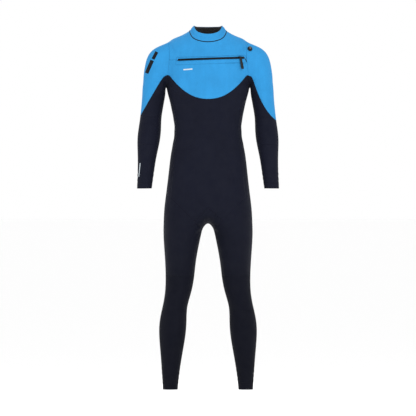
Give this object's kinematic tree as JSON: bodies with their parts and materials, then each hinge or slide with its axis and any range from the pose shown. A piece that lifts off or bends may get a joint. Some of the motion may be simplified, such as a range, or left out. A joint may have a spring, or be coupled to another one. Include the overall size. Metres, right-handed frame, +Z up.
{
  "type": "full wetsuit",
  "caption": "Long-sleeved, long-legged chest-zip wetsuit in two-colour neoprene, with a ribbed collar, a zip slider with pull tab, and limbs that bend at shoulders, elbows, hips and knees.",
  "frame": {"origin": "under the middle of the suit, at the height of the ankle hems", "axes": "+X towards the wearer's left, -Y the wearer's front, +Z up"},
  "size_m": [0.5672, 0.233, 1.4553],
  "materials": {
    "blue_jersey": "matte nylon jersey on neoprene",
    "black_jersey": "matte nylon jersey on neoprene",
    "lower_black_jersey": "matte hard-wearing jersey on neoprene",
    "black_lining": "soft jersey lining",
    "smooth_skin": "smooth glued neoprene skin",
    "black_tape": "woven tape",
    "black_plastic": "moulded acetal",
    "black_metal": "black plated zinc",
    "pull_rubber": "soft moulded rubber",
    "button_grey": "moulded plastic",
    "spring_steel": "drawn stainless wire"
  },
  "bodies": {
    "torso": {"back_yoke": "blue_jersey", "chest_panel": "blue_jersey", "collar": "blue_jersey", "collar_lining": "black_lining", "cord_lock_housing": "black_plastic", "cord_lock_spring": "spring_steel", "crotch_gusset": "black_jersey", "hip_back_left": "black_jersey", "hip_back_right": "black_jersey", "hip_front_left": "black_jersey", "hip_front_right": "black_jersey", "inner_bib": "smooth_skin", "neck_flap": "blue_jersey", "neck_piping": "black_tape", "shoulder_cap_left": "blue_jersey", "shoulder_cap_right": "blue_jersey", "side_panel_left": "black_jersey", "side_panel_right": "black_jersey", "torso_back": "black_jersey", "torso_front": "black_jersey", "underarm_left": "black_jersey", "underarm_right": "black_jersey", "zip_stop_closed_end": "black_plastic", "zip_stop_open_end": "black_plastic", "zip_surround": "blue_jersey", "zip_tape_lower": "black_tape", "zip_tape_upper": "black_tape", "zip_teeth_lower": "black_plastic", "zip_teeth_upper": "black_plastic"},
    "upper_arm_left": {"upper_sleeve_outer_left": "blue_jersey", "upper_sleeve_inner_left": "black_jersey", "elbow_left": "black_jersey"},
    "forearm_left": {"forearm_left": "black_jersey", "wrist_cuff_left": "black_jersey"},
    "thigh_left": {"thigh_front_left": "black_jersey", "thigh_back_left": "black_jersey", "knee_pad_left": "lower_black_jersey", "knee_back_left": "lower_black_jersey"},
    "shin_left": {"shin_left": "lower_black_jersey", "calf_left": "lower_black_jersey", "ankle_cuff_left": "lower_black_jersey"},
    "upper_arm_right": {"upper_sleeve_outer_right": "blue_jersey", "upper_sleeve_inner_right": "black_jersey", "elbow_right": "black_jersey"},
    "forearm_right": {"forearm_right": "black_jersey", "wrist_cuff_right": "black_jersey"},
    "thigh_right": {"thigh_front_right": "black_jersey", "thigh_back_right": "black_jersey", "knee_pad_right": "lower_black_jersey", "knee_back_right": "lower_black_jersey"},
    "shin_right": {"shin_right": "lower_black_jersey", "calf_right": "lower_black_jersey", "ankle_cuff_right": "lower_black_jersey"},
    "zip_slider": {"zip_slider": "black_metal"},
    "pull_tab": {"pull_tab": "pull_rubber"},
    "cord_lock_button": {"cord_lock_button": "button_grey"}
  },
  "joints": [
    {"name": "zip_travel", "type": "hinge", "parent": "torso", "child": "zip_slider", "pos_m": [0, 0.2065, 1.3205], "axis": [-0.034, 0, 0.9994], "range_deg": [-45.8, 0]},
    {"name": "pull_tab_swing", "type": "hinge", "parent": "zip_slider", "child": "pull_tab", "pos_m": [0.13015, -0.07018, 1.32587], "axis": [-0.9042, -0.4259, -0.0308], "range_deg": [0, 160]},
    {"name": "cord_lock_press", "type": "slide", "parent": "torso", "child": "cord_lock_button", "axis": [-0.2548, 0.756, -0.603], "range_m": [0, 0.0022], "stiffness_N_per_m": 600, "springref_m": -0.002, "deforming": ["cord_lock_spring"]},
    {"name": "shoulder_left", "type": "hinge", "parent": "torso", "child": "upper_arm_left", "pos_m": [0.2, 0.0105, 1.29], "axis": [-1, 0, 0], "range_deg": [-30, 60], "stiffness_Nm_per_rad": 0.4, "deforming": ["shoulder_cap_left", "underarm_left"]},
    {"name": "elbow_left", "type": "hinge", "parent": "upper_arm_left", "child": "forearm_left", "pos_m": [0.235, 0.0155, 1.035], "axis": [-1, 0, 0], "range_deg": [0, 90], "stiffness_Nm_per_rad": 0.1, "deforming": ["elbow_left"]},
    {"name": "hip_left", "type": "hinge", "parent": "torso", "child": "thigh_left", "pos_m": [0.1, 0.0075, 0.735], "axis": [-1, 0, 0], "range_deg": [-15, 60], "stiffness_Nm_per_rad": 1, "deforming": ["hip_front_left", "hip_back_left"]},
    {"name": "knee_left", "type": "hinge", "parent": "thigh_left", "child": "shin_left", "pos_m": [0.121, -0.0015, 0.385], "axis": [1, 0, 0], "range_deg": [0, 95], "stiffness_Nm_per_rad": 0.3, "deforming": ["knee_pad_left", "knee_back_left"]},
    {"name": "shoulder_right", "type": "hinge", "parent": "torso", "child": "upper_arm_right", "pos_m": [-0.2, 0.0105, 1.29], "axis": [-1, 0, 0], "range_deg": [-30, 60], "stiffness_Nm_per_rad": 0.4, "deforming": ["shoulder_cap_right", "underarm_right"]},
    {"name": "elbow_right", "type": "hinge", "parent": "upper_arm_right", "child": "forearm_right", "pos_m": [-0.235, 0.0155, 1.035], "axis": [-1, 0, 0], "range_deg": [0, 90], "stiffness_Nm_per_rad": 0.1, "deforming": ["elbow_right"]},
    {"name": "hip_right", "type": "hinge", "parent": "torso", "child": "thigh_right", "pos_m": [-0.1, 0.0075, 0.735], "axis": [-1, 0, 0], "range_deg": [-15, 60], "stiffness_Nm_per_rad": 1, "deforming": ["hip_front_right", "hip_back_right"]},
    {"name": "knee_right", "type": "hinge", "parent": "thigh_right", "child": "shin_right", "pos_m": [-0.121, -0.0015, 0.385], "axis": [1, 0, 0], "range_deg": [0, 95], "stiffness_Nm_per_rad": 0.3, "deforming": ["knee_pad_right", "knee_back_right"]}
  ]
}
